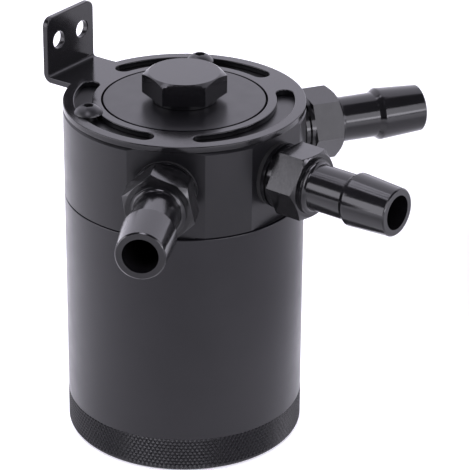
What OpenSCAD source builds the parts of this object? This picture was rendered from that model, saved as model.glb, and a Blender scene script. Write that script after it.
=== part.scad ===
// Three-port oil catch can: a turned reservoir that screws onto a machined
// head, with a swivelling sheet-metal bracket, three hose fittings and a
// plugged centre port on the head, and a baffle and filter inside.
// Millimetres. The origin is the centre of the base, +Z is up, and the
// bracket's upright stands on the +Y side.

/* [Reservoir] */
// Outer diameter of the reservoir and of the head
can_d = 76.3; // [72:0.1:84]
// Height of the reservoir from the bench to its rim
reservoir_h = 82; // [76:1:120]
// Thickness of the reservoir's wall
reservoir_wall = 3.65; // [3:0.05:4.2]
// Thickness of the reservoir's floor
floor_t = 6; // [4:0.5:9]
// Radius where the wall meets the floor inside
floor_corner_r = 3; // [1:0.5:5]
// Chamfer round the foot of the reservoir
base_chamfer = 1; // [0.5:0.1:1.5]
// Height of the grip band's upper edge above the bench
grip_top = 11.6; // [8:0.2:16]
// Depth of the grip band's recess, which the knurling fills
grip_recess = 0.35; // [0.2:0.05:0.6]
// Broken edge on each side of the joint line
rim_break = 0.3; // [0.2:0.05:0.5]

/* [Head] */
// Height of the head from the joint line to the bracket's seat
head_h = 29; // [27:0.5:36]
// Chamfer round the top of the head
head_chamfer = 1; // [0.4:0.1:1.4]
// Width of the bracket's seat, from the raised disc to the can's wall
seat_w = 12.4; // [11.5:0.1:14]
// Thickness of the head's wall round the ring chamber
head_wall = 9.15; // [8.6:0.05:10.4]
// Thickness of the roof over the chamber, at the bracket's seat
roof_t = 5.2; // [5:0.1:6]
// Radius where the chamber's wall meets its roof
chamber_corner_r = 2; // [1:0.5:3]
// Length of the threaded skirt below the joint line
skirt_h = 9.5; // [9:0.5:12]
// Thickness of the skirt
skirt_t = 3.6; // [3.4:0.1:4.4]
// How far the head sits turned in the bracket's slots
head_turn = -2.7; // [-6:0.1:6]
// Height of the three port axes above the middle of the head
port_offset = 1.1; // [0:0.1:1.6]
// Angle from one port to the next
port_step = 60; // [55:1:75]
// Depth of the flat behind each fitting, below the can's wall
flat_depth = 1.95; // [1:0.05:3]
// Diameter of the tube that holds the centre port
boss_d = 24; // [22:0.5:26]
// Length of the centre tube below the joint line's level, upwards
boss_up = 2; // [1:0.5:4]
// Width of the web that carries the duct from the middle port
duct_w = 20; // [19:0.5:22]
// Bore of the duct from the middle port to the centre tube
duct_d = 11; // [8:0.5:12]

/* [Bracket] */
// Thickness of the bracket's sheet
sheet_t = 2; // [1.6:0.1:2.6]
// How far the bracket's ring stands out past the head's wall
ring_overhang = 0; // [0:0.1:1]
// Distance from the can's wall to the middle of each slot
slot_inset = 6.35; // [5.9:0.05:6.55]
// Width of the slots
slot_w = 5.6; // [5.4:0.1:6]
// Half the angle between the centres of a slot's round ends
slot_half_angle = 44; // [30:1:48]
// Width of the tab and of the upright
tab_w = 23.5; // [22:0.1:30]
// Gap between the can's wall and the upright's inner face
upright_gap = 7.1; // [5:0.1:20]
// Height of the upright above the ring's upper face
upright_h = 19.5; // [18:0.1:40]
// Inside radius of the bend
bend_r = 1; // [1:0.25:3]
// Radius of the upright's upper corners
upright_corner_r = 3; // [1:0.5:4]
// Diameter of the two fixing holes
fixing_hole_d = 5.6; // [5:0.1:6.6]
// Distance between the two fixing holes
fixing_spacing = 11.7; // [9:0.1:14]
// Height of the fixing holes above the ring's upper face
fixing_up = 11; // [9:0.5:14]

/* [Screws] */
// Thread diameter of the bracket's screws
bracket_screw_d = 5; // [4:0.5:5]
// Head diameter of the bracket's screws
bracket_screw_head_d = 9.5; // [8.5:0.1:10]
// Head height of the bracket's screws
bracket_screw_head_h = 2.75; // [2:0.05:3.2]
// Length of the bracket's screws below the head
bracket_screw_len = 6; // [5:0.25:6]
// Depth of the tapped holes for the bracket's screws
tapped_depth = 4.6; // [4.2:0.1:5]
// Width across the flats of the screws' sockets
socket_af = 3; // [2.5:0.1:3.5]

/* [Top plug] */
// Width across the flats of the plug's head
plug_af = 23.1; // [20:0.1:26]
// Height of the plug's head
plug_head_h = 7.05; // [5:0.05:9]
// Radius of the flat circle on top of the plug
plug_face_r = 11.2; // [9:0.1:11.2]
// Thickness of the washer under the plug's head
plug_washer_t = 2; // [1:0.1:3]
// Diameter of the washer under the plug's head
plug_washer_d = 20.6; // [18:0.2:24]
// Length of the plug's thread below the disc
plug_thread_len = 9; // [6:0.5:9]
// How far the plug's head sits turned
plug_turn = 5.2; // [0:0.2:60]

/* [Hose fittings] */
// Thread diameter of the four ports
port_thread_d = 16; // [14:0.5:16]
// Length of a fitting from the head's flat to its tip
fitting_len = 45.4; // [42:0.2:60]
// Diameter of the bore
fitting_bore_d = 10.8; // [8:0.1:11.5]
// Diameter of the shank that carries the hose
shank_d = 14.5; // [13.5:0.1:15.5]
// Diameter of the barb's crest
barb_d = 16.8; // [16:0.1:18]
// Diameter of the tip
tip_d = 15.1; // [13.5:0.1:15.5]
// Length of the barb from its crest to the tip
barb_len = 14.6; // [12:0.2:18]
// Length of the slope behind the crest
barb_slope = 2; // [1:0.1:3]
// Length of the round land on the crest
barb_land = 0.6; // [0.4:0.1:1]
// Width across the flats of the hexagon
fitting_af = 20.2; // [19.6:0.1:22]
// Length of the hexagon
fitting_hex_len = 9.8; // [6:0.2:10]
// Length of the round collar behind the hexagon
collar_len = 3.6; // [3:0.1:5]
// Diameter of the collar
collar_d = 20.4; // [19:0.1:21]
// Width and depth of the groove round the collar
collar_groove = 0.8; // [0.4:0.1:1]
// Length of the fitting's thread
fitting_thread_len = 9; // [7:0.25:9.5]
// Thickness of the sealing ring behind each fitting
seal_t = 1.4; // [1:0.1:2]
// Diameter of the sealing ring behind each fitting
seal_d = 19.8; // [18.5:0.1:21]
// How far each fitting's hexagon sits turned about its own axis
hex_turns = [41.2, -2, 5.4];

/* [Inside] */
// Thickness of the O-ring's squeezed cord
cord_d = 2.1; // [1.8:0.1:2.4]
// Thickness of the baffle plate
baffle_t = 1.5; // [1:0.1:3]
// Gap between the baffle plate and the reservoir's wall
baffle_gap = 1; // [0.6:0.1:2]
// Height of the baffle plate's lower face below the joint line
baffle_down = 12; // [11.5:0.5:20]
// Diameter of the baffle's holes
baffle_hole_d = 3.2; // [2:0.1:4]
// Width across the flats of the baffle's posts
post_af = 6; // [5:0.25:7]
// Thread diameter of the baffle's posts and screws
post_thread_d = 3; // [2.5:0.1:3.5]
// Head diameter of the baffle's screws
baffle_screw_head_d = 5.5; // [5:0.1:6.5]
// Outer diameter of the filter element
filter_d = 28; // [25:0.5:30]
// Thickness of the filter element's wall
filter_wall = 3.5; // [2.5:0.1:4]
// Length of the filter element
filter_len = 36; // [25:1:38]
// Thickness of each filter gasket
gasket_t = 1.5; // [1:0.1:2]
// Thickness of the filter's end cap
end_cap_t = 2.5; // [2:0.1:4]
// Diameter of the perforated stem inside the filter
stem_d = 14; // [13:0.5:14.5]
// Wall thickness of the stem
stem_wall = 1.6; // [1.4:0.1:2]
// Thread diameter of the stud under the stem
stud_d = 8; // [6:0.5:8]

/* [Hidden] */
$fn = 96;

// Clearances
thread_gap = 0.05;      // thread crest to the hole that it sits in
slip_gap = 0.2;         // washers, gaskets and plain holes to what passes through them
blind_gap = 0.4;        // end of a screw or fitting to the bottom of its hole
turning_gap = 0.1;      // head skirt to the reservoir's bore, all round
pilot_gap = 0.3;        // bracket's ring to the raised disc, all round
seal_gap = 0.05;        // O-ring to the bore and to its groove's floor
slot_end_extra = 0.04;  // how much wider the slots' drilled ends are than the slots
cut = 1;                // how far a cutter runs past the face that it cuts

// Reservoir and joint line
can_r = can_d / 2;
bore_r = can_r - reservoir_wall;
ring_r = can_r + ring_overhang;
slot_r = can_r - slot_inset;
disc_r = can_r - seat_w;
chamber_r = can_r - head_wall;
flat_from_axis = can_r - flat_depth;
upright_from_axis = can_r + upright_gap;
fitting_reach = flat_from_axis + fitting_len;
joint_z = reservoir_h;

// Head
seat_z = joint_z + head_h;
disc_z = seat_z + sheet_t;
ceiling_z = seat_z - roof_t;
port_z = joint_z + head_h / 2 + port_offset;
skirt_r = bore_r - turning_gap;
skirt_inner_r = skirt_r - skirt_t;
thread_r = port_thread_d / 2;
port_hole_r = thread_r + thread_gap;
boss_bottom_z = joint_z + boss_up;
middle_azimuth = -90 + head_turn;
port_azimuths = [middle_azimuth - port_step, middle_azimuth, middle_azimuth + port_step];
screw_azimuths = [middle_azimuth + 120, middle_azimuth + 240];
edge_break = 0.25;

// O-ring groove, just below the joint line
groove_w = cord_d + 0.3;
groove_down = 1.2;
groove_top_z = joint_z - groove_down;
groove_z = groove_top_z - groove_w / 2;
cord_mid_r = bore_r - seal_gap - cord_d / 2;
groove_floor_r = cord_mid_r - cord_d / 2 - seal_gap;
// The skirt is turned down below the groove, where its thread is
thread_relief = 0.8;
pilot_h = 1;

// Fitting, measured along its own axis from the can's axis
collar_x = flat_from_axis + seal_t;
hex_x = collar_x + collar_len;
hex_end_x = hex_x + fitting_hex_len;
crest_x = fitting_reach - barb_len;
slope_x = crest_x - barb_slope;
neck_step = 1.6;
neck_r = shank_d / 2 + neck_step;
neck_len = 0.8;
neck_fillet = 1.2;
tip_break = 0.4;
thread_lead = 0.6;
hex_chamfer_r = fitting_af / 2 - 0.1;
chamfer_angle = 30;

// Baffle and filter
baffle_z = joint_z - baffle_down;
baffle_top_z = baffle_z + baffle_t;
baffle_r = bore_r - baffle_gap;
filter_r = filter_d / 2;
baffle_centre_gap = 0.8;
// The posts stand midway between the filter and the chamber's wall
post_circle_r = (filter_r + baffle_centre_gap + chamber_r) / 2;
// As many rings of holes as fit between the filter's hole and the rim
baffle_edge = 3.7;
baffle_hole_web = 0.5;
baffle_ring_in = filter_r + baffle_centre_gap + baffle_edge;
baffle_ring_room = baffle_r - baffle_edge - baffle_ring_in;
baffle_ring_gaps = max(1, floor(baffle_ring_room / (1.6 * baffle_hole_d)));
baffle_rings = [for (i = [0 : baffle_ring_gaps])
    baffle_ring_in + i * baffle_ring_room / baffle_ring_gaps];
baffle_ring_turn = 4;
post_azimuths = [middle_azimuth + 180, middle_azimuth + 80, middle_azimuth + 280];
post_stud_len = 4;
post_stud_r = post_thread_d / 2;
baffle_screw_len = 6;
baffle_screw_head_h = 1.65;
baffle_socket_af = 2;
stem_r = stem_d / 2;
stem_thread_len = 7;
stem_hole_d = 4;
filter_top_z = boss_bottom_z - gasket_t;
filter_bottom_z = filter_top_z - filter_len;
end_cap_top_z = filter_bottom_z - gasket_t;
end_cap_z = end_cap_top_z - end_cap_t;
stud_r = stud_d / 2;
nut_af = stud_d * 1.625;
nut_h = stud_d * 0.8;
washer_t = 1.6;
washer_r = stud_d;
stud_tip = 1.2;

black = [0.07, 0.07, 0.075];
graphite = [0.13, 0.13, 0.14];
rubber = [0.03, 0.03, 0.03];
bronze = [0.62, 0.43, 0.24];
steel = [0.62, 0.63, 0.65];
bare = [0.75, 0.76, 0.78];

// Corner radius of a hexagon of the given width across flats
function corner_r(af) = af / sqrt(3);

// Turns and lifts its children from the X axis onto a port's axis
module on_port(azimuth) {
    translate([0, 0, port_z]) rotate([0, 0, azimuth]) children();
}

// Lays children that stand along +Z along +X instead
module along_x() {
    rotate([0, 90, 0]) children();
}

// Places its children at each angle of a list, at one radius
module at_each(azimuths, radius) {
    for (a = azimuths) rotate([0, 0, a]) translate([radius, 0, 0]) children();
}

// Flat washer or tube standing on z
module tube(outer_r, inner_r, z, h) {
    translate([0, 0, z]) difference() {
        cylinder(r = outer_r, h = h);
        translate([0, 0, -cut]) cylinder(r = inner_r, h = h + 2 * cut);
    }
}

// Hexagonal prism with a round chamfer on its upper end, flat circle of
// radius face_r, standing on the origin
module chamfered_hex(af, h, face_r) {
    r = corner_r(af);
    drop = (r - face_r) * tan(chamfer_angle);
    intersection() {
        cylinder(r = r, h = h, $fn = 6);
        union() {
            translate([0, 0, -cut]) cylinder(r = r + cut, h = h - drop + cut);
            translate([0, 0, h - drop]) cylinder(r1 = r, r2 = face_r, h = drop);
        }
    }
}

// Button-head screw standing head up with the head's seat at the origin
module button_screw(d, len, head_d, head_h, af) {
    // Radius of the ball that the domed head is cut from
    ball_r = (pow(head_d / 2, 2) - pow(d * 0.28, 2) + head_h * head_h) / (2 * head_h);
    difference() {
        union() {
            translate([0, 0, -len]) cylinder(d = d, h = len);
            rotate_extrude() intersection() {
                translate([0, head_h - ball_r]) circle(r = ball_r);
                square([head_d / 2, head_h]);
            }
        }
        translate([0, 0, head_h * 0.42])
            cylinder(r = corner_r(af), h = head_h + cut, $fn = 6);
    }
}

module reservoir() {
    color(black) rotate_extrude() difference() {
        polygon([
            [0, 0],
            [can_r - base_chamfer, 0],
            [can_r - grip_recess, base_chamfer - grip_recess],
            [can_r - grip_recess, grip_top - grip_recess],
            [can_r, grip_top],
            [can_r, reservoir_h - rim_break],
            [can_r - rim_break, reservoir_h],
            [0, reservoir_h]
        ]);
        translate([0, floor_t]) square([bore_r - floor_corner_r, reservoir_h]);
        translate([0, floor_t + floor_corner_r]) square([bore_r, reservoir_h]);
        translate([bore_r - floor_corner_r, floor_t + floor_corner_r]) circle(r = floor_corner_r);
        translate([0, reservoir_h - rim_break])
            polygon([[0, 0], [bore_r, 0], [bore_r + rim_break + cut, rim_break + cut], [0, rim_break + cut]]);
    }
}

// Section of the head before its flats, ports and holes are cut
module head_section() {
    difference() {
        union() {
            polygon([
                [0, joint_z],
                [can_r - rim_break, joint_z],
                [can_r, joint_z + rim_break],
                [can_r, seat_z - head_chamfer],
                [can_r - head_chamfer, seat_z],
                [disc_r, seat_z],
                [disc_r, disc_z - edge_break],
                [disc_r - edge_break, disc_z],
                [0, disc_z]
            ]);
            translate([0, joint_z - skirt_h])
                square([skirt_r - thread_relief, skirt_h]);
            translate([0, groove_top_z - groove_w - pilot_h])
                square([skirt_r, joint_z - groove_top_z + groove_w + pilot_h]);
        }
        translate([groove_floor_r, groove_top_z - groove_w]) square([skirt_t, groove_w]);
        translate([0, joint_z - skirt_h - cut])
            square([skirt_inner_r, skirt_h + cut]);
        translate([0, joint_z - cut])
            square([chamber_r, ceiling_z - joint_z + cut - chamber_corner_r]);
        translate([0, joint_z])
            square([chamber_r - chamber_corner_r, ceiling_z - joint_z]);
        translate([chamber_r - chamber_corner_r, ceiling_z - chamber_corner_r])
            circle(r = chamber_corner_r);
    }
}

// Centre tube and the duct that joins it to the middle port
module head_core() {
    translate([0, 0, boss_bottom_z]) cylinder(d = boss_d, h = ceiling_z + cut - boss_bottom_z);
    duct_bottom = port_z - port_hole_r - 1;
    rotate([0, 0, middle_azimuth]) translate([0, -duct_w / 2, duct_bottom])
        cube([chamber_r + cut, duct_w, ceiling_z + cut - duct_bottom]);
}

module head() {
    // The ports break into the chamber and clear the end of the fitting's thread
    drill_x = min(chamber_r - cut, collar_x - fitting_thread_len - blind_gap);
    color(black) difference() {
        union() {
            rotate_extrude() head_section();
            head_core();
        }
        for (a = port_azimuths) on_port(a) {
            translate([flat_from_axis, -can_r, joint_z - port_z])
                cube([can_r, can_d, seat_z - joint_z + cut]);
            translate([drill_x, 0, 0]) along_x() cylinder(r = port_hole_r, h = can_r);
        }
        on_port(middle_azimuth) along_x() cylinder(d = duct_d, h = can_r);
        translate([0, 0, boss_bottom_z - cut])
            cylinder(r = port_hole_r, h = disc_z - boss_bottom_z + 2 * cut);
        at_each(screw_azimuths, slot_r)
            translate([0, 0, seat_z - tapped_depth])
                cylinder(d = bracket_screw_d + 2 * thread_gap, h = tapped_depth + cut);
        at_each(post_azimuths, post_circle_r)
            translate([0, 0, ceiling_z - cut])
                cylinder(r = post_stud_r + thread_gap, h = post_stud_len + blind_gap + cut);
    }
}

module head_seal() {
    color(rubber) rotate_extrude() translate([cord_mid_r, groove_z]) circle(d = cord_d, $fn = 32);
}

// One arc slot, as a flat shape centred on the given angle
module slot_shape(azimuth) {
    rotate(azimuth) {
        for (s = [-1, 1]) rotate(s * slot_half_angle)
            translate([slot_r, 0]) circle(d = slot_w + slot_end_extra);
        intersection() {
            difference() {
                circle(r = slot_r + slot_w / 2);
                circle(r = slot_r - slot_w / 2);
            }
            // Wedge between the centres of the slot's round ends
            far = 2 * can_d;
            polygon([
                [0, 0],
                far * [cos(slot_half_angle), -sin(slot_half_angle)],
                [far, 0],
                far * [cos(slot_half_angle), sin(slot_half_angle)]
            ]);
        }
    }
}

// Section of the tab, bend and upright, as Y and height above the ring's foot
module bracket_bend_section() {
    bend_y = upright_from_axis - bend_r;
    bend_up = sheet_t + bend_r;
    square([bend_y, sheet_t]);
    difference() {
        translate([bend_y, bend_up]) circle(r = bend_r + sheet_t);
        translate([bend_y, bend_up]) circle(r = bend_r);
        translate([bend_y - can_d, -cut]) square([can_d, can_d]);
        translate([bend_y - can_d / 2, bend_up]) square([can_d, can_d]);
    }
    translate([upright_from_axis, bend_up]) square([sheet_t, upright_h - bend_r]);
}

// Front outline of the tab and the upright, with its two round corners
module upright_outline() {
    top = sheet_t + upright_h;
    half = tab_w / 2;
    translate([-half, -cut]) square([tab_w, top - upright_corner_r + cut]);
    translate([-half + upright_corner_r, -cut])
        square([tab_w - 2 * upright_corner_r, top + cut]);
    for (s = [-1, 1]) translate([s * (half - upright_corner_r), top - upright_corner_r])
        circle(r = upright_corner_r);
}

module bracket() {
    color(graphite) translate([0, 0, seat_z]) difference() {
        union() {
            cylinder(r = ring_r, h = sheet_t);
            intersection() {
                translate([-tab_w / 2 - cut, 0, 0]) rotate([90, 0, 90])
                    linear_extrude(height = tab_w + 2 * cut) bracket_bend_section();
                rotate([90, 0, 0]) translate([0, 0, -2 * upright_from_axis])
                    linear_extrude(height = 2 * upright_from_axis + cut) upright_outline();
            }
        }
        translate([0, 0, -cut]) cylinder(r = disc_r + pilot_gap, h = sheet_t + 2 * cut);
        for (a = [30, 150, 270]) translate([0, 0, -cut])
            linear_extrude(height = sheet_t + 2 * cut) slot_shape(a);
        for (s = [-1, 1])
            translate([s * fixing_spacing / 2, upright_from_axis - cut, sheet_t + fixing_up])
                rotate([-90, 0, 0]) cylinder(d = fixing_hole_d, h = sheet_t + 2 * cut);
    }
}

module bracket_screws() {
    color(graphite) at_each(screw_azimuths, slot_r) translate([0, 0, disc_z])
        button_screw(bracket_screw_d, bracket_screw_len, bracket_screw_head_d,
                     bracket_screw_head_h, socket_af);
}

module top_plug() {
    head_z = disc_z + plug_washer_t;
    color(black) rotate([0, 0, plug_turn]) {
        translate([0, 0, head_z]) chamfered_hex(plug_af, plug_head_h, plug_face_r);
        translate([0, 0, disc_z - plug_thread_len])
            cylinder(r = thread_r, h = plug_thread_len + plug_washer_t + cut);
    }
}

module top_plug_washer() {
    color(black) tube(plug_washer_d / 2, thread_r + slip_gap, disc_z, plug_washer_t);
}

// Section of a hose fitting without its hexagon: X along the axis
module fitting_section() {
    tip_r = tip_d / 2;
    barb_r = barb_d / 2;
    shank_r = shank_d / 2;
    collar_r = collar_d / 2;
    neck_x = hex_end_x + neck_len;
    groove_x = collar_x + (collar_len - collar_groove) / 2;
    difference() {
        polygon([
            [collar_x - fitting_thread_len, 0],
            [collar_x - fitting_thread_len, thread_r - thread_lead],
            [collar_x - fitting_thread_len + thread_lead, thread_r],
            [collar_x, thread_r],
            [collar_x, collar_r - edge_break],
            [collar_x + edge_break, collar_r],
            [groove_x, collar_r],
            [groove_x, collar_r - collar_groove],
            [groove_x + collar_groove, collar_r - collar_groove],
            [groove_x + collar_groove, collar_r],
            [hex_x, collar_r],
            [hex_x, hex_chamfer_r - cut],
            [hex_end_x, hex_chamfer_r - cut],
            [hex_end_x, neck_r],
            [neck_x, neck_r],
            [neck_x + neck_fillet, neck_r],
            [neck_x + neck_fillet, shank_r],
            [slope_x, shank_r],
            [crest_x - barb_land / 2, barb_r],
            [crest_x + barb_land / 2, barb_r],
            [fitting_reach - tip_break, tip_r],
            [fitting_reach, tip_r - tip_break],
            [fitting_reach, 0]
        ]);
        translate([neck_x + neck_fillet, shank_r + neck_fillet]) circle(r = neck_fillet, $fn = 48);
        translate([neck_x + neck_fillet - 0.01, shank_r + neck_fillet])
            square([neck_fillet, neck_r - shank_r]);
    }
}

module fitting(azimuth, hex_turn) {
    color(graphite) on_port(azimuth) difference() {
        union() {
            along_x() rotate_extrude() rotate(90) mirror([0, 1]) fitting_section();
            translate([hex_x, 0, 0]) rotate([hex_turn, 0, 0]) along_x() rotate([0, 0, 90])
                chamfered_hex(fitting_af, fitting_hex_len, hex_chamfer_r);
        }
        along_x() cylinder(d = fitting_bore_d, h = fitting_reach + cut);
    }
}

module fitting_seal(azimuth) {
    color(rubber) on_port(azimuth) along_x()
        tube(seal_d / 2, thread_r + slip_gap, flat_from_axis, seal_t);
}

module left_fitting() {
    fitting(port_azimuths[0], hex_turns[0]);
}

module middle_fitting() {
    fitting(port_azimuths[1], hex_turns[1]);
}

module right_fitting() {
    fitting(port_azimuths[2], hex_turns[2]);
}

module left_fitting_seal() {
    fitting_seal(port_azimuths[0]);
}

module middle_fitting_seal() {
    fitting_seal(port_azimuths[1]);
}

module right_fitting_seal() {
    fitting_seal(port_azimuths[2]);
}

module baffle_plate() {
    color(bare) translate([0, 0, baffle_z]) difference() {
        cylinder(r = baffle_r, h = baffle_t);
        translate([0, 0, -cut]) cylinder(r = filter_r + baffle_centre_gap, h = baffle_t + 2 * cut);
        at_each(post_azimuths, post_circle_r)
            translate([0, 0, -cut])
                cylinder(r = post_stud_r + slip_gap, h = baffle_t + 2 * cut);
        for (i = [0 : len(baffle_rings) - 1]) {
            ring = baffle_rings[i];
            count = floor(2 * PI * ring / (baffle_hole_d * 2.2));
            // Holes that would run into a post's foot are left out
            for (k = [0 : count - 1]) {
                a = baffle_ring_turn * i + k * 360 / count;
                away = min([for (p = post_azimuths) norm(
                    [ring * cos(a), ring * sin(a)] - post_circle_r * [cos(p), sin(p)])]);
                if (away > corner_r(post_af) + baffle_hole_d / 2 + baffle_hole_web)
                    rotate([0, 0, a]) translate([ring, 0, -cut])
                        cylinder(d = baffle_hole_d, h = baffle_t + 2 * cut);
            }
        }
    }
}

module baffle_posts() {
    post_h = ceiling_z - baffle_top_z;
    color(steel) at_each(post_azimuths, post_circle_r) difference() {
        union() {
            translate([0, 0, baffle_top_z]) cylinder(r = corner_r(post_af), h = post_h, $fn = 6);
            translate([0, 0, ceiling_z - cut]) cylinder(r = post_stud_r, h = post_stud_len + cut);
        }
        translate([0, 0, baffle_top_z - cut])
            cylinder(r = post_stud_r + thread_gap, h = baffle_screw_len + cut);
    }
}

module baffle_screws() {
    color(steel) at_each(post_azimuths, post_circle_r)
        translate([0, 0, baffle_z]) mirror([0, 0, 1])
            button_screw(post_thread_d, baffle_screw_len, baffle_screw_head_d,
                         baffle_screw_head_h, baffle_socket_af);
}

module filter_stem() {
    rows = 4;
    pitch = filter_len / rows;
    inner_r = stem_r - stem_wall;
    color(bare) difference() {
        union() {
            translate([0, 0, end_cap_top_z])
                cylinder(r = stem_r, h = boss_bottom_z - end_cap_top_z + cut);
            translate([0, 0, boss_bottom_z]) cylinder(r = thread_r, h = stem_thread_len);
            stud_len = end_cap_t + washer_t + nut_h + stud_tip;
            translate([0, 0, end_cap_top_z - stud_len]) cylinder(r = stud_r, h = stud_len + cut);
        }
        translate([0, 0, end_cap_top_z + stem_wall])
            cylinder(r = inner_r, h = boss_bottom_z - end_cap_top_z + stem_thread_len);
        for (i = [0 : rows - 1], a = [0, 90])
            translate([0, 0, filter_bottom_z + (i + 0.5) * pitch]) rotate([0, 0, a + 45 * (i % 2)])
                rotate([90, 0, 0]) translate([0, 0, -stem_d])
                    cylinder(d = stem_hole_d, h = 2 * stem_d);
    }
}

module filter_element() {
    color(bronze) tube(filter_r, filter_r - filter_wall, filter_bottom_z, filter_len);
}

module filter_top_gasket() {
    color(rubber) tube(boss_d / 2, thread_r + slip_gap, filter_top_z, gasket_t);
}

module filter_bottom_gasket() {
    color(rubber) tube(filter_r, stem_r + 1, end_cap_top_z, gasket_t);
}

module filter_end_cap() {
    color(bare) tube(filter_r, stud_r + slip_gap, end_cap_z, end_cap_t);
}

module filter_washer() {
    color(steel) tube(washer_r, stud_r + slip_gap, end_cap_z - washer_t, washer_t);
}

module filter_nut() {
    color(steel) translate([0, 0, end_cap_z - washer_t - nut_h]) difference() {
        mirror([0, 0, 1]) translate([0, 0, -nut_h]) chamfered_hex(nut_af, nut_h, nut_af / 2 - 0.1);
        translate([0, 0, -cut]) cylinder(r = stud_r + thread_gap, h = nut_h + 2 * cut);
    }
}

reservoir();
head();
head_seal();
bracket();
bracket_screws();
top_plug();
top_plug_washer();
left_fitting();
middle_fitting();
right_fitting();
left_fitting_seal();
middle_fitting_seal();
right_fitting_seal();
baffle_plate();
baffle_posts();
baffle_screws();
filter_stem();
filter_element();
filter_top_gasket();
filter_bottom_gasket();
filter_end_cap();
filter_washer();
filter_nut();
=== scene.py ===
"""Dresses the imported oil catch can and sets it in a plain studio.

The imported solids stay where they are. Rounded copies stand for the machined
pieces whose edges catch the light, node trees make the knurled grip band and
the skirt's thread, and every piece gets a procedural finish. Lengths are in
metres and angles in degrees, unless a docstring says otherwise.
"""
import logging
import math
from dataclasses import dataclass
from enum import Enum
from typing import Optional

import bmesh
import bpy
from mathutils import Matrix, Vector


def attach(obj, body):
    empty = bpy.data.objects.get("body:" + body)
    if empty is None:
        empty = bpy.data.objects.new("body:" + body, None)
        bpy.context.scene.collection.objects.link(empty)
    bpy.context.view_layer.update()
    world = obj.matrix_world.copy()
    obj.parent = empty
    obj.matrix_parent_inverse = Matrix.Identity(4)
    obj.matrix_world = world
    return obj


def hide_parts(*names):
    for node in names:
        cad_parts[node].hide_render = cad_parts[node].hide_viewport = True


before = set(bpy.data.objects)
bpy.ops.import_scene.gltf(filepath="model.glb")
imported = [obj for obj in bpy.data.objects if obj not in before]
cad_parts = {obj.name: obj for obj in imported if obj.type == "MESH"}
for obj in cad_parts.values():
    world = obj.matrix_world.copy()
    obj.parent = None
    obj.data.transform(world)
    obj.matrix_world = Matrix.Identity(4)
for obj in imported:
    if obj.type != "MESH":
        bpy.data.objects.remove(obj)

LOG = logging.getLogger("catch_can")
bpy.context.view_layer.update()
MM = 0.001
# Distance from ring to ring of a wave texture whose scale is 1.
WAVE_PITCH = 0.314
# Octaves of finer noise in the clouds that vary a finish's colour.
CLOUD_DETAIL = 3.0

Colour = tuple[float, float, float]
Point = tuple[float, float, float]
Socket = bpy.types.NodeSocket


class Body(Enum):
    """The bodies that a made piece can ride on."""

    RESERVOIR = "reservoir"
    HEAD = "head"
    BRACKET = "bracket"


class Marks(Enum):
    """The fine marks that a tool leaves on a surface."""

    BLASTED = "blasted"
    TURNED = "turned"
    FACED = "faced"
    MILLED = "milled"
    ROLLED = "rolled"


class NodeTree:
    """A tree whose nodes are added and wired one by one."""

    def __init__(self, tree: bpy.types.NodeTree) -> None:
        """Keeps the tree that the nodes go into."""
        self.tree = tree

    def add(self, kind: str, **settings: object) -> bpy.types.Node:
        """Adds a node and sets its properties.

        Args:
            kind: The node's type name.
            settings: Properties of the node and their values.

        Returns:
            The new node.
        """
        node = self.tree.nodes.new(kind)
        for key, value in settings.items():
            setattr(node, key, value)
        return node

    def wire(self, source: object, target: Socket) -> None:
        """Joins an output to an input, or sets the input to a plain value.

        Args:
            source: An output socket or a value.
            target: The input socket.
        """
        if isinstance(source, Socket):
            self.tree.links.new(source, target)
        else:
            target.default_value = source

    def feed(self, node: bpy.types.Node, **sources: object) -> bpy.types.Node:
        """Wires or sets a node's inputs by name.

        Args:
            node: The node.
            sources: Input names, with underscores for spaces, and their
                sockets or values.

        Returns:
            The same node.
        """
        for key, source in sources.items():
            self.wire(source, node.inputs[key.replace("_", " ")])
        return node

    def math(self, operation: str, *sources: object) -> Socket:
        """A math node on sockets or values.

        Args:
            operation: The math node's operation.
            sources: Its inputs in order.

        Returns:
            The result.
        """
        node = self.add("ShaderNodeMath", operation=operation)
        for source, target in zip(sources, node.inputs):
            self.wire(source, target)
        return node.outputs[0]

    def measure(self, operation: str, *sources: object) -> Socket:
        """A vector math node whose result is a number.

        Args:
            operation: The node's operation, such as DOT_PRODUCT or LENGTH.
            sources: Its inputs in order.

        Returns:
            The number.
        """
        node = self.add("ShaderNodeVectorMath", operation=operation)
        for source, target in zip(sources, node.inputs):
            self.wire(source, target)
        return node.outputs["Value"]

    def band(self, factor: Socket, low: float, high: float, start: float = 0.3,
             end: float = 0.7, smooth: bool = False) -> Socket:
        """Maps a factor to a range of values.

        Args:
            factor: The factor to map.
            low: Value at start.
            high: Value at end.
            start: Factor that gives low.
            end: Factor that gives high.
            smooth: Whether the change eases in and out.

        Returns:
            The mapped value.
        """
        node = self.add("ShaderNodeMapRange",
                        interpolation_type="SMOOTHSTEP" if smooth else "LINEAR")
        self.feed(node, Value=factor, From_Min=start, From_Max=end, To_Min=low, To_Max=high)
        return node.outputs["Result"]


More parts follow.
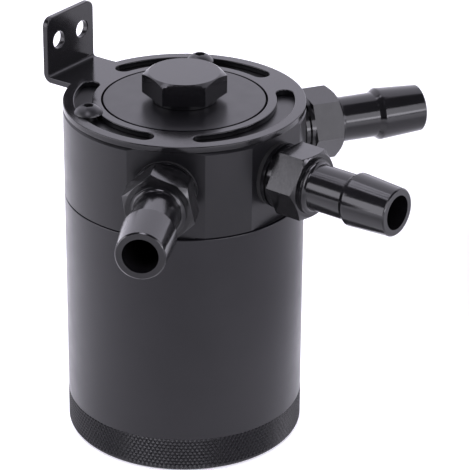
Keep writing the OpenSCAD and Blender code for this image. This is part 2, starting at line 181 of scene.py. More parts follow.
class Shader(NodeTree):
    """A material that is one surface shader, fed by textures."""

    def __init__(self, name: str) -> None:
        """Starts an empty material with its surface shader.

        Args:
            name: The material's name.
        """
        self.material = bpy.data.materials.new(name)
        self.material.use_nodes = True
        super().__init__(self.material.node_tree)
        self.tree.nodes.clear()
        output = self.add("ShaderNodeOutputMaterial")
        self.surface = self.add("ShaderNodeBsdfPrincipled")
        self.wire(self.surface.outputs[0], output.inputs["Surface"])
        self.place = self.add("ShaderNodeTexCoord").outputs["Object"]

    def noise(self, scale: float, detail: float = 2.0, rough: float = 0.5,
              stretch: Optional[Point] = None) -> Socket:
        """A noise texture in the object's own space.

        Args:
            scale: Features per metre.
            detail: Octaves of finer noise.
            rough: Share of each finer octave.
            stretch: Scale along X, Y and Z before the texture, if any.

        Returns:
            The texture's factor.
        """
        source = self.place
        if stretch:
            mapping = self.feed(self.add("ShaderNodeMapping"), Vector=source, Scale=stretch)
            source = mapping.outputs["Vector"]
        texture = self.feed(self.add("ShaderNodeTexNoise"), Vector=source, Scale=scale,
                            Detail=detail, Roughness=rough)
        return texture.outputs["Fac"]

    def tint(self, factor: Socket, dark: Colour, light: Colour) -> Socket:
        """Mixes two colours by a factor.

        Args:
            factor: Share of the second colour.
            dark: Colour at factor 0.
            light: Colour at factor 1.

        Returns:
            The mixed colour.
        """
        mix = self.feed(self.add("ShaderNodeMix", data_type="RGBA"), Factor=factor)
        ends = [socket for socket in mix.inputs if socket.type == "RGBA"]
        for colour, socket in zip((dark, light), ends):
            self.wire((*colour, 1.0), socket)
        return next(socket for socket in mix.outputs if socket.type == "RGBA")

    def bump(self, heights: list[tuple[Socket, float]]) -> None:
        """Stacks bumps on the surface's normal.

        Args:
            heights: Pairs of a height factor and its depth.
        """
        normal = None
        for height, depth in heights:
            node = self.feed(self.add("ShaderNodeBump"), Strength=1.0, Distance=depth,
                             Height=height)
            if normal:
                self.wire(normal, node.inputs["Normal"])
            normal = node.outputs["Normal"]
        self.wire(normal, self.surface.inputs["Normal"])

    def rings(self, pitch: float, flat: bool) -> Socket:
        """Turning marks: rings stacked along Z, or rings in the XY plane.

        Args:
            pitch: Distance from ring to ring.
            flat: True for rings in the XY plane.

        Returns:
            The marks' factor.
        """
        if flat:
            wave = self.add("ShaderNodeTexWave", wave_type="RINGS", rings_direction="Z")
        else:
            wave = self.add("ShaderNodeTexWave", wave_type="BANDS", bands_direction="Z")
        self.feed(wave, Vector=self.place, Scale=WAVE_PITCH / pitch, Distortion=0.4,
                  Detail=2.0, Detail_Scale=1.5)
        return wave.outputs["Fac"]

    def groove(self, radius: float, width: float, height: float, depth: float) -> Socket:
        """A mask that is 1 inside a groove about Z, and 0 elsewhere.

        Args:
            radius: Middle radius of the groove.
            width: Its extent across.
            height: Its middle height.
            depth: Its extent along Z.

        Returns:
            The mask.
        """
        flat = self.add("ShaderNodeVectorMath", operation="MULTIPLY")
        self.wire(self.place, flat.inputs[0])
        self.wire((1.0, 1.0, 0.0), flat.inputs[1])
        split = self.feed(self.add("ShaderNodeSeparateXYZ"), Vector=self.place)
        across = self.measure("LENGTH", flat.outputs["Vector"])
        return self.math("MULTIPLY", self.math("COMPARE", across, radius, width / 2),
                         self.math("COMPARE", split.outputs["Z"], height, depth / 2))

    def total(self, base: float, parts: list[Socket]) -> Socket:
        """Adds values to a base value.

        Args:
            base: The base value.
            parts: The values to add, one or more.

        Returns:
            The sum.
        """
        result = base
        for part in parts:
            result = self.math("ADD", part, result)
        return result


@dataclass(frozen=True)
class PaintedShadeGroove:
    """A band about Z that mirrors nothing of the room: painted shade in a gap between parts."""

    radius: float
    width: float
    height: float
    depth: float


@dataclass(frozen=True)
class Anodised:
    """Dyed anodised aluminium: a near-black, slightly violet satin skin.

    Clouds, grain, milled and rolled marks are given in features per metre, and
    streaks in features per cloud. Gloss is the mirror level outside the grooves;
    inside them the mirror is off, as painted shade.
    """

    name: str
    dark: Colour = (0.0052, 0.005, 0.0062)
    light: Colour = (0.0078, 0.0075, 0.009)
    rough_low: float = 0.28
    rough_high: float = 0.33
    ior: float = 1.385
    gloss: float = 0.5
    cloud: float = 45.0
    streaks: float = 3.5
    grain: float = 5200.0
    grain_depth: float = 0.006 * MM
    marks: Marks = Marks.BLASTED
    mark_depth: float = 0.004 * MM
    ring_pitch: float = 0.25 * MM
    milled: float = 700.0
    rolled: float = 900.0
    rolled_stretch: Point = (0.06, 1.0, 1.0)
    mark_detail: float = 3.0
    mark_rough: float = 0.6
    painted_shade_grooves: tuple[PaintedShadeGroove, ...] = ()

    def tool_marks(self, shader: Shader) -> Optional[Socket]:
        """The height of the tool's marks.

        Args:
            shader: The shader that the texture goes into.

        Returns:
            The marks' factor, or None where the surface is blasted.
        """
        if self.marks in (Marks.TURNED, Marks.FACED):
            return shader.rings(self.ring_pitch, self.marks is Marks.FACED)
        if self.marks is Marks.MILLED:
            return shader.noise(self.milled, self.mark_detail, self.mark_rough)
        if self.marks is Marks.ROLLED:
            return shader.noise(self.rolled, self.mark_detail, self.mark_rough,
                                self.rolled_stretch)
        return None

    def material(self) -> bpy.types.Material:
        """Makes the finish as a material.

        Returns:
            The material.
        """
        shader = Shader(self.name)
        cloud = shader.band(shader.noise(self.cloud, CLOUD_DETAIL), 0.0, 1.0)
        streak = shader.noise(self.streaks * self.cloud)
        shader.feed(shader.surface, IOR=self.ior,
                    Base_Color=shader.tint(cloud, self.dark, self.light),
                    Roughness=shader.band(streak, self.rough_low, self.rough_high))
        heights = [(shader.noise(self.grain), self.grain_depth)]
        marks = self.tool_marks(shader)
        if marks:
            heights.append((marks, self.mark_depth))
        shader.bump(heights)
        # Painted shade: the mirror level drops to nothing inside each groove, so the gap reads
        # dark.
        if self.painted_shade_grooves:
            shade_masks = [shader.groove(g.radius, g.width, g.height, g.depth) for g in self.painted_shade_grooves]
            level = shader.band(shader.total(0.0, shade_masks), self.gloss, 0.0, 0.0, 1.0)
            shader.feed(shader.surface, Specular_IOR_Level=level)
        return shader.material


@dataclass(frozen=True)
class Rubber:
    """Matt black moulded rubber."""

    name: str
    colour: Colour = (0.012, 0.012, 0.012)
    lighter: float = 1.8
    rough_low: float = 0.55
    rough_high: float = 0.7
    ior: float = 1.45
    cloud: float = 300.0
    grain: float = 2500.0
    grain_depth: float = 0.01 * MM

    def material(self) -> bpy.types.Material:
        """Makes the finish as a material.

        Returns:
            The material.
        """
        shader = Shader(self.name)
        cloud = shader.noise(self.cloud, CLOUD_DETAIL)
        light = tuple(level * self.lighter for level in self.colour)
        shader.feed(shader.surface, IOR=self.ior,
                    Base_Color=shader.tint(cloud, self.colour, light),
                    Roughness=shader.band(cloud, self.rough_low, self.rough_high))
        shader.bump([(shader.noise(self.grain), self.grain_depth)])
        return shader.material


@dataclass(frozen=True)
class BareMetal:
    """Undyed metal with turning marks, for the pieces inside."""

    name: str
    colour: Colour
    rough_low: float = 0.25
    rough_high: float = 0.38
    darker: float = 0.82
    cloud: float = 120.0
    grain: float = 3000.0
    grain_depth: float = 0.01 * MM
    ring_pitch: float = 0.3 * MM
    ring_depth: float = 0.003 * MM

    def material(self) -> bpy.types.Material:
        """Makes the finish as a material.

        Returns:
            The material.
        """
        shader = Shader(self.name)
        cloud = shader.noise(self.cloud, CLOUD_DETAIL)
        dark = tuple(level * self.darker for level in self.colour)
        shader.feed(shader.surface, Metallic=1.0,
                    Base_Color=shader.tint(cloud, dark, self.colour),
                    Roughness=shader.band(cloud, self.rough_low, self.rough_high))
        shader.bump([(shader.rings(self.ring_pitch, False), self.ring_depth),
                     (shader.noise(self.grain), self.grain_depth)])
        return shader.material


@dataclass(frozen=True)
class Sintered:
    """Porous bronze, pressed from fine balls.

    The two reaches are where the roughness and the depth are full, as a share
    of a ball from its middle.
    """

    name: str
    crest: Colour = (0.62, 0.4, 0.2)
    pit_shade: Colour = (0.16, 0.09, 0.04)
    rough_crest: float = 0.42
    rough_pit: float = 0.7
    rough_reach: float = 0.6
    ball: float = 0.35 * MM
    ball_depth: float = 0.12 * MM
    depth_reach: float = 0.8

    def material(self) -> bpy.types.Material:
        """Makes the finish as a material.

        Returns:
            The material.
        """
        shader = Shader(self.name)
        cells = shader.feed(shader.add("ShaderNodeTexVoronoi", feature="F1"),
                            Vector=shader.place, Scale=1.0 / self.ball)
        away = cells.outputs["Distance"]
        rough = shader.band(away, self.rough_crest, self.rough_pit, 0.0, self.rough_reach)
        # Painted shade: the colour darkens from each ball's crest into the pits between the balls.
        shader.feed(shader.surface, Metallic=1.0, Roughness=rough,
                    Base_Color=shader.tint(away, self.crest, self.pit_shade))
        height = shader.band(away, 1.0, 0.0, 0.0, self.depth_reach)
        shader.bump([(height, self.ball_depth)])
        return shader.material


def new_object(name: str, data: bpy.types.ID) -> bpy.types.Object:
    """Makes an object in the scene.

    Args:
        name: The object's name.
        data: Its mesh, light or camera.

    Returns:
        The object.
    """
    made = bpy.data.objects.new(name, data)
    bpy.context.scene.collection.objects.link(made)
    return made


def evaluated_mesh(holder: bpy.types.Object) -> bpy.types.Mesh:
    """The plain mesh that an object's modifiers make."""
    graph = bpy.context.evaluated_depsgraph_get()
    return bpy.data.meshes.new_from_object(holder.evaluated_get(graph), depsgraph=graph)


class GeometryTree(NodeTree):
    """A tree that makes a mesh from named inputs."""

    def __init__(self, name: str) -> None:
        """Starts a tree with its geometry input and output.

        Args:
            name: The tree's name.
        """
        super().__init__(bpy.data.node_groups.new(name, "GeometryNodeTree"))
        for way in ("INPUT", "OUTPUT"):
            self.tree.interface.new_socket("Geometry", in_out=way,
                                           socket_type="NodeSocketGeometry")
        self.entry = self.add("NodeGroupInput")
        self.exit = self.add("NodeGroupOutput")
        self.identifiers: dict[str, str] = {}

    def size(self, name: str, kind: str = "NodeSocketFloat") -> Socket:
        """Adds a named input.

        Args:
            name: The input's name.
            kind: The input's socket type.

        Returns:
            The socket to wire from.
        """
        item = self.tree.interface.new_socket(name, in_out="INPUT", socket_type=kind)
        self.identifiers[name] = item.identifier
        return self.entry.outputs[name]

    def vector(self, x: object, y: object, z: object) -> Socket:
        """A vector from three sockets or values.

        Args:
            x: Its part along X.
            y: Its part along Y.
            z: Its part along Z.

        Returns:
            The vector.
        """
        node = self.feed(self.add("ShaderNodeCombineXYZ"), X=x, Y=y, Z=z)
        return node.outputs[0]

    def finish(self, geometry: Socket, material: Socket) -> None:
        """Ends the tree with plain, dressed geometry.

        Args:
            geometry: The geometry to end with.
            material: The material input.
        """
        real = self.feed(self.add("GeometryNodeRealizeInstances"), Geometry=geometry)
        dressed = self.feed(self.add("GeometryNodeSetMaterial"),
                            Geometry=real.outputs["Geometry"], Material=material)
        self.feed(self.exit, Geometry=dressed.outputs["Geometry"])

    def mesh(self, name: str, values: dict[str, object]) -> bpy.types.Object:
        """Runs the tree and keeps its result as a plain mesh object.

        Args:
            name: The new object's name.
            values: Input names and their values.

        Returns:
            The new object, with no modifier.
        """
        holder = new_object(name + "_tree", bpy.data.meshes.new(name + "_tree"))
        modifier = holder.modifiers.new("tree", "NODES")
        modifier.node_group = self.tree
        for key, value in values.items():
            modifier[self.identifiers[key]] = value
        bpy.context.view_layer.update()
        made = evaluated_mesh(holder)
        made.name = name
        bpy.data.objects.remove(holder)
        return new_object(name, made)


@dataclass(frozen=True)
class Rounding:
    """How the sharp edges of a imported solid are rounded.

    An edge is rounded where its faces meet at more than the sharp angle, or
    half of that where it is longer than a long edge. Points closer than the
    weld become one, and so do faces that meet at less than the flat angle.
    """

    radius: float
    long_edge: float = 1.0
    hollows: bool = True
    sharp: float = 24.0
    segments: int = 2
    weld: float = 0.002 * MM
    flat: float = 0.4
    smooth: float = 40.0

    def picks(self, edge: bmesh.types.BMEdge) -> bool:
        """Tells whether an edge is rounded.

        Args:
            edge: The edge.

        Returns:
            True for an edge that is sharp enough.
        """
        if len(edge.link_faces) != 2 or not (self.hollows or edge.is_convex):
            return False
        least = self.sharp / 2 if edge.calc_length() > self.long_edge else self.sharp
        return edge.calc_face_angle(0.0) > math.radians(least)

    def copy(self, node: str, name: str) -> bpy.types.Object:
        """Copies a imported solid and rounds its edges.

        Args:
            node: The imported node's name.
            name: The new piece's name.

        Returns:
            The new piece.
        """
        body = bmesh.new()
        body.from_mesh(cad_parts[node].data)
        bmesh.ops.remove_doubles(body, verts=body.verts[:], dist=self.weld)
        bmesh.ops.dissolve_limit(body, angle_limit=math.radians(self.flat),
                                 verts=body.verts[:], edges=body.edges[:])
        bmesh.ops.bevel(body, geom=[edge for edge in body.edges if self.picks(edge)],
                        offset=self.radius, offset_type="OFFSET", segments=self.segments,
                        profile=0.5, affect="EDGES", clamp_overlap=True, loop_slide=True)
        mesh = bpy.data.meshes.new(name)
        body.to_mesh(mesh)
        body.free()
        mesh.shade_smooth()
        mesh.set_sharp_from_angle(angle=math.radians(self.smooth))
        piece = new_object(name, mesh)
        weighted = piece.modifiers.new("normals", "WEIGHTED_NORMAL")
        weighted.keep_sharp = True
        made = evaluated_mesh(piece)
        piece.modifiers.clear()
        piece.data = made
        return piece


def dress(piece: bpy.types.Object, material: bpy.types.Material) -> None:
    """Gives a piece one material all over."""
    piece.data.materials.clear()
    piece.data.materials.append(material)


def place(piece: bpy.types.Object, body: Body, slot: str, *nodes: str) -> bpy.types.Object:
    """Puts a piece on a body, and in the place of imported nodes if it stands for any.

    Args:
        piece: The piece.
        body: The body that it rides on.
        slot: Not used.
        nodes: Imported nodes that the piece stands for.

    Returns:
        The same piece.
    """
    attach(piece, body.value)
    if nodes:
        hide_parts(*nodes)
    return piece


@dataclass
class Reservoir:
    """The turned cup with its knurled grip band."""

    edges: Rounding = Rounding(0.18 * MM)
    root_radius: float = 37.74 * MM
    diamonds: int = 166
    rows: int = 9
    row_step: float = 1.15 * MM
    first_row: float = 1.6 * MM
    tooth: float = 0.5 * MM
    tooth_top: float = 0.22
    # Painted shade: the mirror is off along the parting line at the cup's top.
    finish: Anodised = Anodised("reservoir_anodised", marks=Marks.TURNED,
                                painted_shade_grooves=(PaintedShadeGroove(38.0 * MM, 1.4 * MM, 82.0 * MM, 0.36 * MM),))
    grip_finish: Anodised = Anodised("grip_anodised", rough_low=0.34, rough_high=0.4)

    def grip_tree(self) -> GeometryTree:
        """Makes the tree that sets rows of small pyramids round the foot.

        Returns:
            The tree.
        """
        tree = GeometryTree("grip_band")
        around, rows = tree.size("Diamonds", "NodeSocketInt"), tree.size("Rows", "NodeSocketInt")
        step, first = tree.size("Row step"), tree.size("First row")
        radius, tooth = tree.size("Root radius"), tree.size("Tooth height")
        top, material = tree.size("Tooth top"), tree.size("Material", "NodeSocketMaterial")
        # Every second row is shifted by half a tooth.
        index = tree.add("GeometryNodeInputIndex").outputs[0]
        row = tree.math("FLOOR", tree.math("DIVIDE", index, around))
        column = tree.math("SUBTRACT", index, tree.math("MULTIPLY", row, around))
        shift = tree.math("MULTIPLY", tree.math("MODULO", row, 2.0), 0.5)
        turn = tree.math("DIVIDE", math.tau, around)
        angle = tree.math("MULTIPLY", tree.math("ADD", column, shift), turn)
        spot = tree.vector(tree.math("MULTIPLY", radius, tree.math("COSINE", angle)),
                           tree.math("MULTIPLY", radius, tree.math("SINE", angle)),
                           tree.math("ADD", first, tree.math("MULTIPLY", row, step)))
        points = tree.feed(tree.add("GeometryNodePoints"),
                           Count=tree.math("MULTIPLY", around, rows))
        moved = tree.feed(tree.add("GeometryNodeSetPosition"),
                          Geometry=points.outputs[0], Position=spot)
        # A tooth is a four-sided cone that lies with its top outwards.
        cone = tree.feed(tree.add("GeometryNodeMeshCone", fill_type="NGON"), Vertices=4,
                         Side_Segments=1, Radius_Top=top, Radius_Bottom=1.0, Depth=1.0)
        lying = tree.feed(tree.add("GeometryNodeTransform"), Geometry=cone.outputs["Mesh"],
                          Rotation=(0.0, math.radians(90.0), 0.0))
        width = tree.math("MULTIPLY", tree.math("MULTIPLY", radius, turn), 0.5)
        sized = tree.feed(tree.add("GeometryNodeTransform"), Geometry=lying.outputs["Geometry"],
                          Scale=tree.vector(tooth, width, step))
        facing = tree.feed(tree.add("FunctionNodeEulerToRotation"),
                           Euler=tree.vector(0.0, 0.0, angle))
        teeth = tree.feed(tree.add("GeometryNodeInstanceOnPoints"),
                          Points=moved.outputs["Geometry"], Instance=sized.outputs["Geometry"],
                          Rotation=facing.outputs[0])
        tree.finish(teeth.outputs["Instances"], material)
        return tree

    def build(self) -> list[bpy.types.Object]:
        """Makes the rounded cup and its grip band.

        Returns:
            The two pieces.
        """
        cup = self.edges.copy("reservoir", "reservoir_cup")
        dress(cup, self.finish.material())
        grip = self.grip_tree().mesh("grip_band", {
            "Diamonds": self.diamonds, "Rows": self.rows, "Row step": self.row_step,
            "First row": self.first_row, "Root radius": self.root_radius,
            "Tooth height": self.tooth, "Tooth top": self.tooth_top,
            "Material": self.grip_finish.material()})
        return [place(cup, Body.RESERVOIR, "anodised", "reservoir"),
                place(grip, Body.RESERVOIR, "anodised")]


@dataclass
class Head:
    """The head with its flats, raised disc and threaded skirt."""

    edges: Rounding = Rounding(0.2 * MM, long_edge=12.0 * MM)
    thread_root: float = 33.45 * MM
    thread_height: float = 0.75 * MM
    thread_pitch: float = 1.5 * MM
    thread_foot: float = 73.0 * MM
    thread_turns: float = 2.6
    points_per_turn: int = 96
    ridge_sides: int = 4
    # Painted shade: the mirror is off in the gap round the raised disc and along the parting line.
    finish: Anodised = Anodised("head_anodised", (0.0043, 0.0042, 0.005), (0.0066, 0.0064, 0.0074),
                                rough_low=0.30, rough_high=0.35, marks=Marks.TURNED,
                                painted_shade_grooves=(PaintedShadeGroove(25.7 * MM, 0.5 * MM, 113.0 * MM, 6.0 * MM),
                                         PaintedShadeGroove(38.0 * MM, 1.4 * MM, 82.15 * MM, 0.5 * MM)))

    def thread_tree(self) -> GeometryTree:
        """Makes the tree that sweeps a ridge along a helix.

        Returns:
            The tree.
        """
        tree = GeometryTree("skirt_thread")
        root, height, pitch = tree.size("Root radius"), tree.size("Height"), tree.size("Pitch")
        foot, turns = tree.size("Foot"), tree.size("Turns")
        detail, sides = tree.size("Detail", "NodeSocketInt"), tree.size("Sides", "NodeSocketInt")
        material = tree.size("Material", "NodeSocketMaterial")
        helix = tree.feed(tree.add("GeometryNodeCurveSpiral"), Resolution=detail,
                          Rotations=turns, Start_Radius=root, End_Radius=root,
                          Height=tree.math("MULTIPLY", turns, pitch))
        lifted = tree.feed(tree.add("GeometryNodeSetPosition"), Geometry=helix.outputs[0],
                           Offset=tree.vector(0.0, 0.0, foot))
        section = tree.feed(tree.add("GeometryNodeCurvePrimitiveCircle"), Resolution=sides,
                            Radius=height)
        ridge = tree.feed(tree.add("GeometryNodeCurveToMesh"), Curve=lifted.outputs["Geometry"],
                          Profile_Curve=section.outputs[0], Fill_Caps=True)
        tree.finish(ridge.outputs["Mesh"], material)
        return tree

    def build(self) -> list[bpy.types.Object]:
        """Makes the rounded head and its thread.

        Returns:
            The two pieces.
        """
        skin = self.finish.material()
        head = self.edges.copy("head", "head_body")
        dress(head, skin)
        thread = self.thread_tree().mesh("skirt_thread", {
            "Root radius": self.thread_root, "Height": self.thread_height,
            "Pitch": self.thread_pitch, "Foot": self.thread_foot, "Turns": self.thread_turns,
            "Detail": self.points_per_turn, "Sides": self.ridge_sides, "Material": skin})
        return [place(head, Body.HEAD, "anodised", "head"),
                place(thread, Body.HEAD, "anodised")]


@dataclass
class Bracket:
    """The sheet bracket and the two screws that clamp it."""

    edges: Rounding = Rounding(0.3 * MM, hollows=False)
    screw_edges: Rounding = Rounding(0.12 * MM)
    # Painted shade: the mirror is off along the ring's inner edge, beside the gap round the disc.
    finish: Anodised = Anodised("bracket_anodised", (0.005, 0.0049, 0.0054),
                                (0.008, 0.0077, 0.0085), rough_low=0.12, rough_high=0.17,
                                ior=1.41, marks=Marks.ROLLED,
                                painted_shade_grooves=(PaintedShadeGroove(25.95 * MM, 0.5 * MM, 113.0 * MM, 6.0 * MM),))
    screw_finish: Anodised = Anodised("screw_black_oxide", (0.006, 0.006, 0.007),
                                      (0.012, 0.012, 0.014), rough_low=0.34, rough_high=0.42,
                                      ior=1.5)

    def build(self) -> list[bpy.types.Object]:
        """Makes the rounded bracket and screws.

        Returns:
            The two pieces.
        """
        sheet = self.edges.copy("bracket", "bracket_sheet")
        dress(sheet, self.finish.material())
        screws = self.screw_edges.copy("bracket_screws", "bracket_screw_pair")
        dress(screws, self.screw_finish.material())
        return [place(sheet, Body.BRACKET, "anodised", "bracket"),
                place(screws, Body.HEAD, "black_screw", "bracket_screws")]


@dataclass
class TopPlug:
    """The hexagon plug in the middle of the head, with its washer."""

    edges: Rounding = Rounding(0.22 * MM)
    finish: Anodised = Anodised("plug_anodised", (0.0035, 0.0034, 0.004), (0.0055, 0.0053, 0.006),
                                rough_low=0.12, rough_high=0.17, ior=1.42)

    def build(self) -> list[bpy.types.Object]:
        """Makes the rounded plug and washer.

        Returns:
            The two pieces.
        """
        skin = self.finish.material()
        made = []
        for node, name in (("top_plug", "plug_body"), ("top_plug_washer", "plug_washer_body")):
            piece = self.edges.copy(node, name)
            dress(piece, skin)
            made.append(place(piece, Body.HEAD, "anodised", node))
        return made


@dataclass
class HoseFittings:
    """The three barbed fittings and the seals behind them.

    A fitting's hexagon is given by where it starts and ends, measured from
    the can's axis along the fitting.
    """

    edges: Rounding = Rounding(0.2 * MM)
    azimuths: tuple[tuple[str, float], ...] = (
        ("left", -152.7), ("middle", -92.7), ("right", -32.7))
    hex_start: float = 41.1 * MM
    hex_end: float = 51.05 * MM
    turned: Anodised = Anodised("fitting_turned", (0.004, 0.0039, 0.0044), (0.006, 0.0058, 0.0065),
                                rough_low=0.11, rough_high=0.16, ior=1.455,
                                marks=Marks.FACED, mark_depth=0.0015 * MM, grain_depth=0.003 * MM)
    milled: Anodised = Anodised("fitting_milled", (0.002, 0.002, 0.0022), (0.0105, 0.0103, 0.0108),
                                rough_low=0.09, rough_high=0.18, ior=1.44, cloud=450.0,
                                marks=Marks.MILLED, mark_depth=0.005 * MM, grain_depth=0.001 * MM)
    seal_finish: Rubber = Rubber("seal_rubber")

    def dress_hexagon(self, piece: bpy.types.Object, azimuth: float,
                      material: bpy.types.Material) -> None:
        """Gives the hexagon's faces a material of their own.

        Args:
            piece: The fitting.
            azimuth: The fitting's direction.
            material: The material.
        """
        piece.data.materials.append(material)
        last = len(piece.data.materials) - 1
        turn = math.radians(azimuth)
        axis = Vector((math.cos(turn), math.sin(turn), 0.0))
        for face in piece.data.polygons:
            if self.hex_start < face.center.dot(axis) < self.hex_end:
                face.material_index = last

    def build(self) -> list[bpy.types.Object]:
        """Makes the rounded fittings and dresses their seals.

        Returns:
            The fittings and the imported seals.
        """
        turned, milled = self.turned.material(), self.milled.material()
        rubber = self.seal_finish.material()
        made = []
        for side, azimuth in self.azimuths:
            piece = self.edges.copy(side + "_fitting", side + "_hose_fitting")
            dress(piece, turned)
            self.dress_hexagon(piece, azimuth, milled)
            made.append(place(piece, Body.HEAD, "anodised_gloss", side + "_fitting"))
            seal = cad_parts[side + "_fitting_seal"]
            dress(seal, rubber)
            made.append(seal)
        return made


@dataclass
class Inside:
    """The baffle, the filter and the seals inside the can."""

    plate: BareMetal = BareMetal("plain_aluminium", (0.78, 0.79, 0.8))
    steel: BareMetal = BareMetal("zinc_steel", (0.6, 0.62, 0.64), 0.21, 0.34)
    bronze: Sintered = Sintered("sintered_bronze")
    rubber: Rubber = Rubber("inner_rubber")

    def build(self) -> list[bpy.types.Object]:
        """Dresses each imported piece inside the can.

        Returns:
            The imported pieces.
        """
        dressed = []
        for finish, nodes in (
                (self.plate, ("baffle_plate", "filter_stem", "filter_end_cap")),
                (self.steel, ("baffle_posts", "baffle_screws", "filter_washer", "filter_nut")),
                (self.bronze, ("filter_element",)),
                (self.rubber, ("head_seal", "filter_top_gasket", "filter_bottom_gasket"))):
            skin = finish.material()
            for node in nodes:
                dress(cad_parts[node], skin)
                dressed.append(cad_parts[node])
        return dressed


@dataclass(frozen=True)
class Softbox:
    """A rectangular light, placed from the camera's side.

    Across, away and up give its direction from the can: to the camera's
    right, behind the can and above the table.
    """

    name: str
    across: float
    away: float
    up: float
    width: float
    height: float
    radiance: float
    distance: float = 1.2


@dataclass(frozen=True)
class Glow:
    """A round patch of light in the room, given from the camera's side.

    It is full up to the inner angle from its middle, and gone at the outer.
    """

    across: float
    away: float
    up: float
    inner: float
    outer: float
    radiance: float


@dataclass(frozen=True)
class Lobe:
    """A patch of painted light (raised glow) or painted shade (lowered glow or darker colour) on
    the table, towards one side of the can.

    Across and away give the side from the camera. The change starts and is
    full at two distances that way.
    """

    across: float
    away: float
    start: float
    full: float
    amount: float


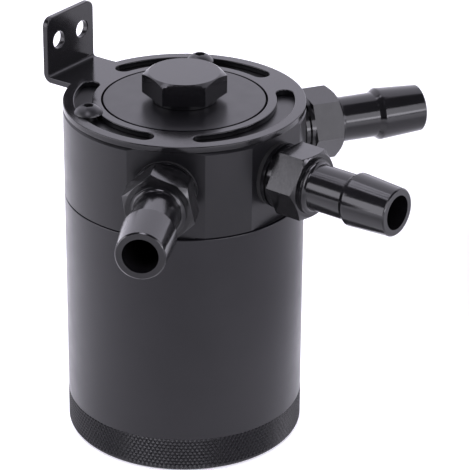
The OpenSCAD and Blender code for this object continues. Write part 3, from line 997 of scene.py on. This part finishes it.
@dataclass
class Studio:
    """The light table, the softboxes, the room's glow and the camera.

    Yaw, pitch and roll are in radians, and the sensor in millimetres.
    """

    table_size: float = 8.0
    table_down: float = 0.3 * MM
    table_rough: float = 0.9
    table_gloss: float = 0.2
    table_shade: float = 0.9
    # Painted shade: the table's colour darkens near the can, to its right and in front.
    table_painted_shade: tuple[Lobe, ...] = (
        Lobe(1.0, 0.25, 0.08, 0.14, 0.28),
        Lobe(0.0, -1.0, 0.08, 0.20, 0.34))
    table_glow: float = 0.50
    # Painted light and shade in the table's glow: brighter behind on the left and far to the front
    # right, dimmer on the left, the right and in front.
    table_painted_light_and_shade: tuple[Lobe, ...] = (
        Lobe(-0.60, 0.80, 0.02, 0.12, 0.25),
        Lobe(-1.0, 0.0, 0.12, 0.20, -0.40),
        Lobe(1.0, 0.2, 0.05, 0.11, -0.36),
        Lobe(0.0, -1.0, 0.04, 0.20, -0.50),
        Lobe(0.63, -0.77, 0.26, 0.42, 1.20))
    least_glow: float = 0.12
    most_glow: float = 2.0
    fade_start: float = 0.22
    fade_end: float = 0.36
    light_colour: Colour = (0.965, 0.945, 1.04)
    room: float = 0.12
    room_colour: Colour = (0.975, 0.945, 1.085)
    glows: tuple[Glow, ...] = (
        Glow(0.00, 1.00, 0.00, 72.0, 79.0, 1.50),
        Glow(-0.50, 0.10, 0.86, 3.0, 6.0, 5.60),
        Glow(-0.39, 0.24, 0.89, 3.0, 6.0, 5.60),
        Glow(-0.28, 0.38, 0.88, 3.0, 6.0, 5.60),
        Glow(0.94, -0.11, 0.27, 7.0, 12.0, 9.00),
        Glow(-0.08, -0.45, 0.89, 8.0, 13.0, 9.00))
    softboxes: tuple[Softbox, ...] = (
        Softbox("left_box", -0.93, -0.24, 0.24, 1.0, 0.72, 4.4),
        Softbox("right_box", 0.61, -0.68, 0.31, 0.9, 0.62, 3.4),
        Softbox("right_strip", 0.63, -0.74, 0.10, 0.8, 0.20, 5.0, 1.1))
    aim: Point = (0.0, 0.0, 0.08)
    eye: Point = (0.0, -0.723345, 0.415990)
    azimuth: float = -53.7
    yaw: float = 0.0223981
    pitch: float = 0.4512312
    roll: float = 0.00927957
    focal_pixels: float = 2499.24
    frame_pixels: int = 470
    sensor: float = 36.0
    clip: float = 0.01

    def from_camera(self, across: float, away: float, up: float) -> Vector:
        """Turns a point given from the camera's side into the part's frame.

        Args:
            across: Its part to the camera's right.
            away: Its part away from the camera.
            up: Its part above the table.

        Returns:
            The point in the part's frame.
        """
        turn = Matrix.Rotation(math.radians(self.azimuth), 3, "Z")
        return turn @ Vector((across, away, up))

    def near_can(self, shader: Shader, lobes: tuple[Lobe, ...]) -> list[Socket]:
        """The table's painted light and shade, which fade to nothing away from the can.

        Args:
            shader: The table's shader.
            lobes: The changes.

        Returns:
            One value for each.
        """
        away = shader.measure("LENGTH", shader.place)
        near = shader.band(away, 1.0, 0.0, self.fade_start, self.fade_end)
        values = []
        for lobe in lobes:
            side = self.from_camera(lobe.across, lobe.away, 0.0)
            along = shader.measure("DOT_PRODUCT", shader.place, side)
            change = shader.band(along, 0.0, lobe.amount, lobe.start, lobe.full)
            values.append(shader.math("MULTIPLY", change, near))
        return values

    def table(self) -> None:
        """Lays a large pale table just under the can; it glows evenly, and near the can painted
        light and painted shade vary its glow and colour.
        """
        shader = Shader("studio_table")
        # Painted shade: the table's colour darkens to the right of and in front of the can.
        painted_shade = shader.total(0.0, self.near_can(shader, self.table_painted_shade))
        # Painted light and shade: the table's glow is raised or lowered towards each side near the
        # can.
        glow = shader.total(self.table_glow, self.near_can(shader, self.table_painted_light_and_shade))
        limits = (self.least_glow, self.most_glow)
        shader.feed(shader.surface, Roughness=self.table_rough,
                    Specular_IOR_Level=self.table_gloss,
                    Base_Color=shader.tint(painted_shade, (self.table_shade,) * 3, (0.0,) * 3),
                    Emission_Color=(*self.light_colour, 1.0),
                    Emission_Strength=shader.band(glow, *limits, *limits))
        half = self.table_size / 2
        corners = ((-half, -half), (half, -half), (half, half), (-half, half))
        mesh = bpy.data.meshes.new("table")
        mesh.from_pydata([(x, y, -self.table_down) for x, y in corners], [], [(0, 1, 2, 3)])
        plane = new_object("table", mesh)
        dress(plane, shader.material)

    def softbox(self, box: Softbox) -> None:
        """Sets a softbox at its place, facing the can.

        Args:
            box: Its place, size and radiance.
        """
        lamp = bpy.data.lights.new(box.name, "AREA")
        lamp.shape = "RECTANGLE"
        lamp.size, lamp.size_y = box.width, box.height
        lamp.energy = box.radiance * math.pi * box.width * box.height
        lamp.color = self.light_colour
        light = new_object(box.name, lamp)
        aim = Vector(self.aim)
        towards = self.from_camera(box.across, box.away, box.up).normalized()
        spot = aim + towards * box.distance
        light.location = spot
        light.rotation_euler = (aim - spot).to_track_quat("-Z", "Y").to_euler()

    def world(self) -> None:
        """Makes a dim room with soft patches of light round the can."""
        world = bpy.data.worlds.new("studio")
        world.use_nodes = True
        room = NodeTree(world.node_tree)
        ray = room.add("ShaderNodeTexCoord").outputs["Generated"]
        level = None
        for glow in self.glows:
            towards = self.from_camera(glow.across, glow.away, glow.up).normalized()
            along = room.measure("DOT_PRODUCT", ray, towards)
            edge, full = (math.cos(math.radians(turn)) for turn in (glow.outer, glow.inner))
            patch = room.band(along, 0.0, glow.radiance, edge, full, smooth=True)
            if level:
                level = room.math("MAXIMUM", patch, level)
            else:
                level = room.math("ADD", patch, self.room)
        room.feed(room.tree.nodes["Background"], Color=(*self.room_colour, 1.0), Strength=level)
        bpy.context.scene.world = world

    def camera(self) -> None:
        """Sets the camera at the photograph's place and angle."""
        lens = bpy.data.cameras.new("camera")
        lens.sensor_width = self.sensor
        lens.lens = self.focal_pixels / self.frame_pixels * self.sensor
        lens.clip_start = self.clip
        ahead = Vector((math.sin(self.yaw) * math.cos(self.pitch),
                        math.cos(self.yaw) * math.cos(self.pitch), -math.sin(self.pitch)))
        right = Vector((math.cos(self.yaw), -math.sin(self.yaw), 0.0))
        up = right.cross(ahead)
        side = math.cos(self.roll) * right + math.sin(self.roll) * up
        top = -math.sin(self.roll) * right + math.cos(self.roll) * up
        turn = Matrix([self.from_camera(*axis) for axis in (side, top, -ahead)])
        view = new_object("camera", lens)
        view.matrix_world = (Matrix.Translation(self.from_camera(*self.eye))
                             @ turn.transposed().to_4x4())
        bpy.context.scene.camera = view

    def build(self) -> None:
        """Sets up the table, the room's glow, the camera and the lights."""
        settings = bpy.context.scene.view_settings
        settings.view_transform = "Standard"
        settings.look = "None"
        self.table()
        self.world()
        self.camera()
        for box in self.softboxes:
            self.softbox(box)


def main() -> None:
    """Builds each sub-assembly in order and reports its pieces."""
    logging.basicConfig(level=logging.INFO, format="%(name)s: %(message)s")
    for assembly in (Reservoir(), Head(), Bracket(), TopPlug(), HoseFittings(), Inside()):
        for piece in assembly.build():
            LOG.info("%s: %s, %d faces", type(assembly).__name__, piece.name,
                     len(piece.data.polygons))
    Studio().build()


if __name__ == "__main__":
    main()
